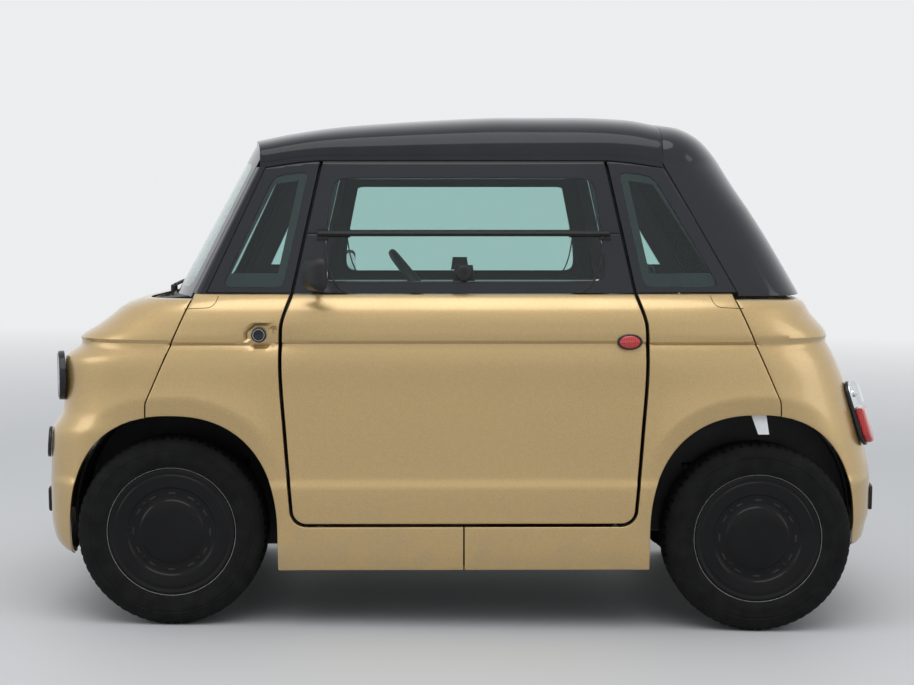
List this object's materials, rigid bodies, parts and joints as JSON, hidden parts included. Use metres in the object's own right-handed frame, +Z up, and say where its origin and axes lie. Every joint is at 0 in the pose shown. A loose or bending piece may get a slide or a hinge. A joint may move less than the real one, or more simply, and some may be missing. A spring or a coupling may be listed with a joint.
{
  "type": "two-seat electric microcar",
  "caption": "Boxy two-seat microcar with gold plastic panels, black roof, upright glass, side doors hinged at opposite ends, covered steel wheels and flap-up side windows",
  "frame": {"origin": "on the ground under the middle of the car's length and width", "axes": "+X forward, +Y to the car's left, +Z up"},
  "size_m": [2.5358, 1.622, 1.5302],
  "materials": {
    "body_paint": "gold metallic wrap, satin gloss",
    "gloss_black": "gloss",
    "tinted_glass": "clear, lightly tinted",
    "black_plastic": "grained",
    "steel_frame": "semi-gloss coating",
    "seat_fabric": "woven",
    "cast_housing": "as cast",
    "lamp_clear": "clear lens",
    "lamp_red": "clear red lens",
    "tyre_rubber": "moulded",
    "wheel_black": "gloss black"
  },
  "bodies": {
    "body": {"nose": "body_paint", "tail": "body_paint", "quarter_front_left": "body_paint", "quarter_front_right": "body_paint", "quarter_rear_left": "body_paint", "quarter_rear_right": "body_paint", "roof": "gloss_black", "windscreen": "tinted_glass", "pillar_trims": "gloss_black", "rear_surround": "gloss_black", "rear_screen": "tinted_glass", "quarter_glass": "tinted_glass", "cabin_frame": "steel_frame", "floor_pan": "black_plastic", "wheel_liners": "black_plastic", "battery_pack": "steel_frame", "drive_unit": "cast_housing", "front_suspension": "steel_frame", "rear_axle": "steel_frame", "dashboard": "black_plastic", "seats": "seat_fabric", "headlamps": "lamp_clear", "tail_lamps": "lamp_red", "bumper_pads": "black_plastic", "cowl": "black_plastic", "door_locks": "gloss_black"},
    "door_left": {"door_left": "body_paint", "door_left_frame": "gloss_black", "door_left_glass": "tinted_glass", "door_left_fittings": "black_plastic", "door_left_lens": "lamp_red"},
    "door_right": {"door_right": "body_paint", "door_right_frame": "gloss_black", "door_right_glass": "tinted_glass", "door_right_fittings": "black_plastic", "door_right_lens": "lamp_red"},
    "steering_wheel": {"steering_wheel": "black_plastic"},
    "steering_rack": {"steering_rack": "steel_frame"},
    "knuckle_left": {"knuckle_left": "steel_frame"},
    "knuckle_right": {"knuckle_right": "steel_frame"},
    "wheel_front_left": {"wheel_front_left": "wheel_black", "tyre_front_left": "tyre_rubber"},
    "wheel_front_right": {"wheel_front_right": "wheel_black", "tyre_front_right": "tyre_rubber"},
    "wheel_rear_left": {"wheel_rear_left": "wheel_black", "tyre_rear_left": "tyre_rubber"},
    "wheel_rear_right": {"wheel_rear_right": "wheel_black", "tyre_rear_right": "tyre_rubber"}
  },
  "joints": [
    {"name": "door_left_hinge", "type": "hinge", "parent": "body", "child": "door_left", "pos_m": [-0.43923, 0.664, 0.64582], "axis": [0.0133, 0, 0.9999], "range_deg": [0, 68]},
    {"name": "door_right_hinge", "type": "hinge", "parent": "body", "child": "door_right", "pos_m": [0.44669, -0.664, 0.63407], "axis": [0.0133, 0, 0.9999], "range_deg": [0, 68]},
    {"name": "steer_left", "type": "hinge", "parent": "body", "child": "knuckle_left", "pos_m": [0.859, 0.53, 0.2785], "axis": [0, 0, 1], "range_deg": [-28, 28]},
    {"name": "steer_right", "type": "hinge", "parent": "body", "child": "knuckle_right", "pos_m": [0.859, -0.53, 0.2785], "axis": [0, 0, 1], "range_deg": [-28, 28]},
    {"name": "rack_slide", "type": "slide", "parent": "body", "child": "steering_rack", "axis": [0, 1, 0], "range_m": [-0.048, 0.048]},
    {"name": "steering_wheel_turn", "type": "hinge", "parent": "body", "child": "steering_wheel", "pos_m": [0.12717, 0.265, 0.97434], "axis": [-0.7798, 0, 0.6261], "range_deg": [-450, 450]},
    {"name": "spin_front_left", "type": "hinge", "parent": "knuckle_left", "child": "wheel_front_left", "pos_m": [0.859, 0.56, 0.2785], "axis": [0, 1, 0], "continuous": true},
    {"name": "spin_front_right", "type": "hinge", "parent": "knuckle_right", "child": "wheel_front_right", "pos_m": [0.859, -0.56, 0.2785], "axis": [0, 1, 0], "continuous": true},
    {"name": "spin_rear_left", "type": "hinge", "parent": "body", "child": "wheel_rear_left", "pos_m": [-0.869, 0.56, 0.2785], "axis": [0, 1, 0], "continuous": true},
    {"name": "spin_rear_right", "type": "hinge", "parent": "body", "child": "wheel_rear_right", "pos_m": [-0.869, -0.56, 0.2785], "axis": [0, 1, 0], "continuous": true}
  ],
  "couplings": [
    {"joint": "steer_right", "follows": "steer_left", "ratio": 1},
    {"joint": "rack_slide", "follows": "steer_left", "m_per_rad": -0.096067},
    {"joint": "steering_wheel_turn", "follows": "steer_left", "ratio": 16}
  ]
}
